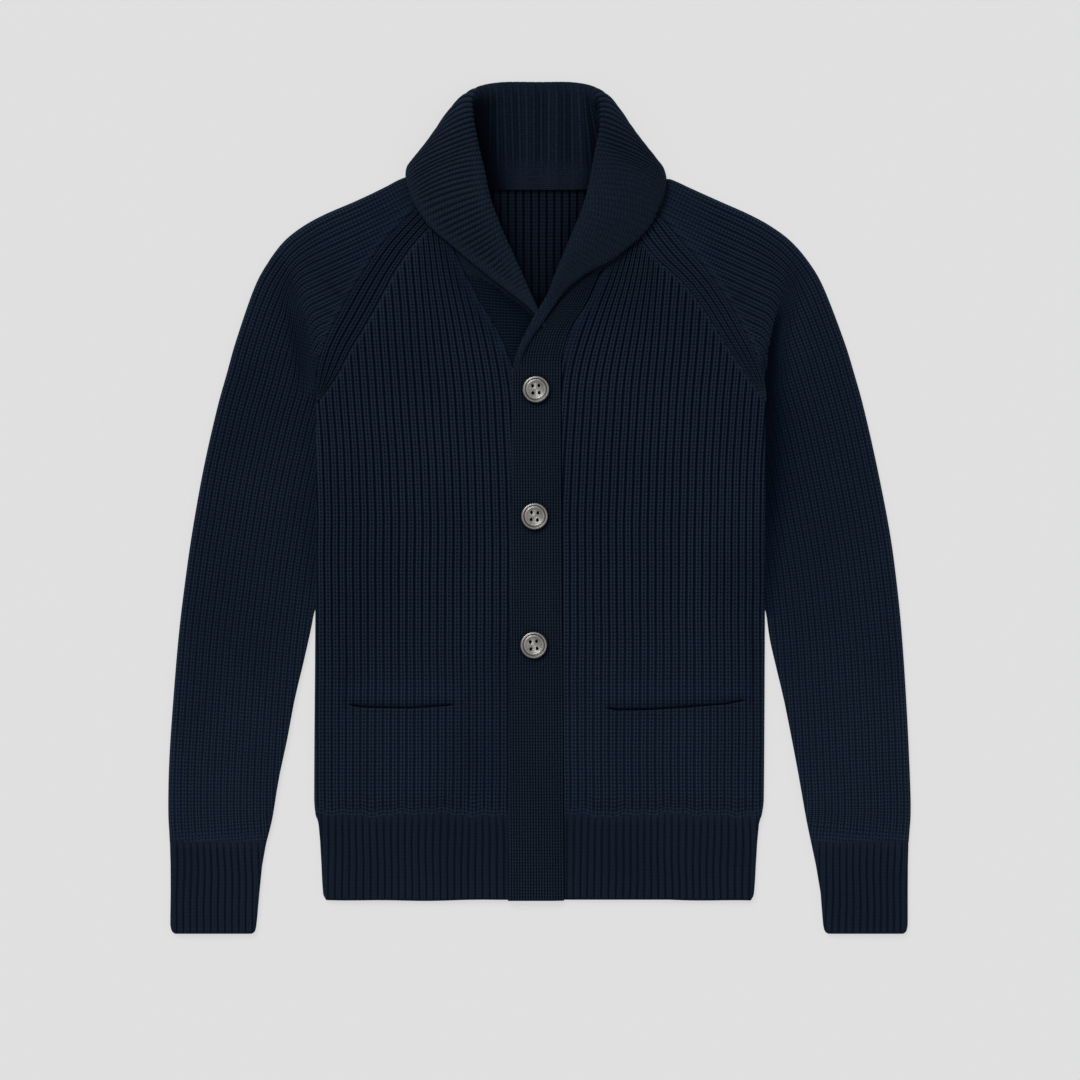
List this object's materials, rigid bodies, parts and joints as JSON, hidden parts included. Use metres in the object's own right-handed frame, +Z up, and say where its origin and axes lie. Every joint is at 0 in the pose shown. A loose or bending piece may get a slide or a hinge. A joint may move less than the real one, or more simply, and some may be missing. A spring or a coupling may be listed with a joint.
{
  "type": "shawl collar cardigan",
  "caption": "Raglan-sleeved, chunky-rib cardigan laid flat: folded shawl collar, button front, horizontal slit pockets, ribbed hem and cuffs.",
  "frame": {"origin": "middle of the bounding box in X and Y, on the surface that the garment lies on", "axes": "+Z up out of the front of the garment, +Y towards the neck, +X towards the wearer's left"},
  "size_m": [0.7058, 0.8095, 0.0307],
  "materials": {
    "rib_knit": "chunky two-stitch rib knit, matt navy yarn with a faint fuzz",
    "trim_rib": "narrow smooth rib knit, matt navy yarn",
    "fine_knit": "fine-gauge knit, matt navy yarn",
    "pocketing": "plain dark pocket lining",
    "button": "aged pewter, turned rings, bright worn rim",
    "thread": "navy sewing thread"
  },
  "bodies": {
    "root": {"back": "rib_knit", "front_right": "rib_knit", "front_left": "rib_knit", "hem_back": "trim_rib", "hem_front_right": "trim_rib", "hem_front_left": "trim_rib", "sleeve_right": "rib_knit", "sleeve_left": "rib_knit", "cuff_right": "trim_rib", "cuff_left": "trim_rib", "collar": "fine_knit", "button_band": "fine_knit", "buttonhole_band": "fine_knit", "pocket_bag_right": "pocketing", "pocket_bag_left": "pocketing", "button_1": "button", "button_2": "button", "button_3": "button", "button_thread_1": "thread", "button_thread_2": "thread", "button_thread_3": "thread"}
  },
  "joints": []
}
